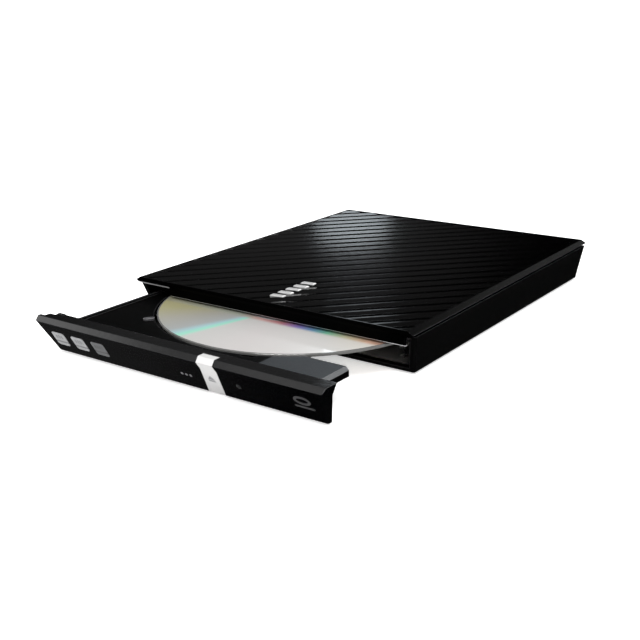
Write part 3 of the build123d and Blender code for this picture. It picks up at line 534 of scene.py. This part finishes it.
def copper(name):
    """Enamelled copper wire, wound in fine turns."""
    t = Tree(name)
    _, _, z = t.split(t.place)
    wire = t.math("SINE", t.times(z, 22000.0))
    tone = t.mix(t.noise(500), (0.42, 0.13, 0.04), (0.72, 0.30, 0.12))
    return t.set(
        Base_Color=tone, Metallic=0.9, Roughness=t.span(t.noise(900), 0.3, 0.7, 0.25, 0.45),
        Normal=t.bump(wire, 0.5, 0.00008),
    )


materials = {
    "ridged_black": lid_black("ridged_black"),
    "gloss_black": gloss_black("gloss_black"),
    "satin_black": satin_black("satin_black"),
    "tray_black": tray_plastic("tray_black"),
    "silver_button": silver_paint("silver_button", (0.69, 0.685, 0.68), rough=0.3, fade=0.32),
    "silver_print": marks_material("silver_print"),
    "grey_print": silver_paint("grey_print", (0.22, 0.22, 0.23)),
    "tab_grey": silver_paint("tab_grey", (0.07, 0.07, 0.075)),
    "emblem_silver": silver_paint("emblem_silver", (0.60, 0.60, 0.60), metallic=0.4, rough=0.25),
    "foot_rubber": rubber("foot_rubber"),
    "screw_steel": metal("screw_steel", (0.42, 0.42, 0.43), 0.28, (1, 1, 30)),
    "sheet_steel": metal("sheet_steel", (0.50, 0.51, 0.52), 0.32, (2, 60, 60)),
    "rail_steel": metal("rail_steel", (0.6, 0.6, 0.61), 0.22, (60, 1, 60)),
    "guide_plastic": plastic("guide_plastic", (0.02, 0.02, 0.021), 0.42, 1.5),
    "board_green": board("board_green"),
    "chip_black": plastic("chip_black", (0.010, 0.010, 0.011), 0.5, 1.8),
    "connector_black": plastic("connector_black", (0.014, 0.014, 0.015), 0.38, 1.6),
    "socket_steel": metal("socket_steel", (0.66, 0.66, 0.65), 0.25, (30, 1, 30)),
    "lens_clear": glassy("lens_clear", (0.22, 0.22, 0.23), 0.08),
    "led_white": plastic("led_white", (0.75, 0.74, 0.66), 0.3, 1.15),
    "disc_mirror": disc_material("disc_mirror"),
    "hub_plastic": plastic("hub_plastic", (0.012, 0.012, 0.013), 0.35, 1.7),
    "claw_plastic": plastic("claw_plastic", (0.62, 0.62, 0.60), 0.35, 1.12),
    "coil_copper": copper("coil_copper"),
    "sled_alloy": metal("sled_alloy", (0.38, 0.38, 0.40), 0.45, (8, 8, 8)),
    "lens_holder_black": plastic("lens_holder_black", (0.012, 0.012, 0.013), 0.4, 1.8),
    "lens_glass": glassy("lens_glass", (0.28, 0.34, 0.75), 0.03),
    "latch_plastic": plastic("latch_plastic", (0.58, 0.57, 0.53), 0.4, 1.15),
    "switch_body": plastic("switch_body", (0.03, 0.03, 0.032), 0.4, 1.5),
}

slot_of = {s["node"]: s["material_slot"] for s in frame["record"]["subparts"]}
own = {"tray": "tray_black", "disc_tabs": "tab_grey"}
for name, obj in nodes.items():
    obj.data.materials.clear()
    obj.data.materials.append(materials[own.get(name, slot_of[name])])


# ------------------------------------------------------------ floor, light, camera
def make_floor():
    """A wide white sheet just under the feet. It is one sided, so that the underside can be
    looked at from below."""
    reach = 6.0
    gap = 0.00002
    mesh = bpy.data.meshes.new("floor")
    bm = bmesh.new()
    for x, y in ((-reach, -reach), (reach, -reach), (reach, reach), (-reach, reach)):
        bm.verts.new((x, y, cad_box[0][2] - gap))
    bm.faces.new(bm.verts)
    bm.to_mesh(mesh)
    bm.free()
    floor = bpy.data.objects.new("floor", mesh)
    bpy.context.scene.collection.objects.link(floor)
    t = Tree("floor_white")
    paper = t.noise(60, 4.0)
    white = t.mix(t.span(paper, 0.3, 0.7, 0.0, 0.4), (0.93, 0.93, 0.93), (0.90, 0.90, 0.90))
    t.set(Base_Color=white, Roughness=0.9, Emission_Color=white, Emission_Strength=0.56)
    geometry = t.tree.nodes.new("ShaderNodeNewGeometry")
    clear = t.tree.nodes.new("ShaderNodeBsdfTransparent")
    sheet = t.tree.nodes.new("ShaderNodeMixShader")
    t.put(geometry.outputs["Backfacing"], sheet.inputs[0])
    t.put(t.bsdf.outputs[0], sheet.inputs[1])
    t.put(clear.outputs[0], sheet.inputs[2])
    t.put(sheet.outputs[0], t.out.inputs["Surface"])
    floor.data.materials.append(t.mat)
    floor.visible_glossy = False


def add_light(name, place, target, size, power, colour=(1, 1, 1)):
    """An oval lamp at place that faces target."""
    data = bpy.data.lights.new(name, "AREA")
    data.shape = "ELLIPSE"
    data.size, data.size_y = size
    data.energy = power
    data.color = colour
    light = bpy.data.objects.new(name, data)
    bpy.context.scene.collection.objects.link(light)
    light.visible_camera = False
    light.location = place
    light.rotation_mode = "QUATERNION"
    light.rotation_quaternion = (Vector(target) - Vector(place)).to_track_quat("-Z", "Y")


def make_camera():
    azimuth, elevation, roll = (math.radians(a) for a in (view_azimuth, view_elevation, view_roll))
    back = Vector((
        math.sin(azimuth) * math.cos(elevation),
        -math.cos(azimuth) * math.cos(elevation),
        math.sin(elevation),
    ))
    right = Vector((math.cos(azimuth), math.sin(azimuth), 0))
    up = back.cross(right)
    across = right * math.cos(roll) + up * math.sin(roll)
    above = up * math.cos(roll) - right * math.sin(roll)
    data = bpy.data.cameras.new("camera")
    data.sensor_width = 36.0
    data.lens = view_lens
    data.clip_start, data.clip_end = 0.01, 50
    camera = bpy.data.objects.new("camera", data)
    bpy.context.scene.collection.objects.link(camera)
    camera.rotation_mode = "QUATERNION"
    camera.rotation_quaternion = Matrix((across, above, back)).transposed().to_quaternion()
    target = at(0, 30, 10) + across * view_across - above * view_down
    camera.location = target + back * view_distance
    bpy.context.scene.camera = camera


# Soft round lamps on the studio's dark walls, for the surfaces that mirror them: direction,
# half angles in degrees of the full and of the whole patch, strength.
studio_lamps = (
    # Tops, seen from above.
    ((0, 0, 1), 5, 42, 0.6),
    # Bevel on top of the bezel: left part, right part.
    ((-0.80, -0.27, 0.535), 0, 13, 1.6),
    ((-0.545, -0.341, 0.766), 0, 11, 0.9),
    # Bevel of the tray's plate, right bevel of the lid, ridges of the lid, slope of the bezel.
    ((0.42, 0.74, 0.52), 1, 15, 8.0),
    ((0.04, 0.88, 0.47), 3, 12, 0.16),
    ((-0.587, 0.700, 0.407), 5, 17, 0.075),
    ((-0.80, 0.0, -0.60), 4, 18, 0.05),
    # The same surfaces and the walls seen from the front, the other sides and below.
    ((0.0, -0.97, 0.26), 5, 34, 0.22),
    ((0.92, -0.10, 0.30), 5, 32, 0.22),
    ((-0.96, 0.12, 0.22), 3, 20, 0.20),
    ((0.86, -0.10, -0.50), 4, 30, 0.12),
    ((-0.16, 0.86, -0.50), 3, 19, 0.14),
    ((-0.53, 0.63, -0.57), 4, 22, 0.14),
)


def lamp_patch(tree, looking, direction, inner, outer, strength):
    """Brightness of one round lamp: full within inner degrees, fading out by outer degrees."""
    dot = tree.nodes.new("ShaderNodeVectorMath")
    dot.operation = "DOT_PRODUCT"
    tree.links.new(looking, dot.inputs[0])
    dot.inputs[1].default_value = Vector(direction).normalized()
    fade = tree.nodes.new("ShaderNodeMapRange")
    fade.interpolation_type = "SMOOTHSTEP"
    tree.links.new(dot.outputs["Value"], fade.inputs["Value"])
    fade.inputs["From Min"].default_value = math.cos(math.radians(outer))
    fade.inputs["From Max"].default_value = math.cos(math.radians(inner))
    fade.inputs["To Max"].default_value = strength
    return fade.outputs[0]


def make_studio():
    """White walls for the picture's ground and soft fill; dark walls with soft lamps for gloss."""
    world = bpy.data.worlds.new("studio")
    bpy.context.scene.world = world
    world.use_nodes = True
    world.cycles.sampling_method = "NONE"
    tree = world.node_tree
    tree.nodes.clear()
    looking = tree.nodes.new("ShaderNodeTexCoord").outputs["Generated"]
    total = lamp_patch(tree, looking, *studio_lamps[0])
    for lamp in studio_lamps[1:]:
        add = tree.nodes.new("ShaderNodeMath")
        tree.links.new(total, add.inputs[0])
        tree.links.new(lamp_patch(tree, looking, *lamp), add.inputs[1])
        total = add.outputs[0]
    white = tree.nodes.new("ShaderNodeBackground")
    white.inputs["Color"].default_value = (1, 1, 1, 1)
    white.inputs["Strength"].default_value = 1.15
    dark = tree.nodes.new("ShaderNodeBackground")
    dark.inputs["Color"].default_value = (1, 1, 1, 1)
    tree.links.new(total, dark.inputs["Strength"])
    path = tree.nodes.new("ShaderNodeLightPath")
    mix = tree.nodes.new("ShaderNodeMixShader")
    tree.links.new(path.outputs["Is Glossy Ray"], mix.inputs[0])
    tree.links.new(white.outputs[0], mix.inputs[1])
    tree.links.new(dark.outputs[0], mix.inputs[2])
    out = tree.nodes.new("ShaderNodeOutputWorld")
    tree.links.new(mix.outputs[0], out.inputs["Surface"])


make_floor()
make_camera()
make_studio()
add_light("key", (0.15, -0.45, 0.85), (0, 0.0, 0.01), (0.5, 0.5), 6.0)
# A small cool lamp behind the drive makes the bright patch at the rear left of the lid.
glint = at(-49, 137, 18.8)
glint_lamp = glint + 0.60 * Vector((-0.4995, 0.7518, 0.4305))
add_light("high_card", glint_lamp, glint, (0.085, 0.070), 0.038, (0.86, 0.94, 1.0))
bpy.context.scene.view_settings.view_transform = "Standard"
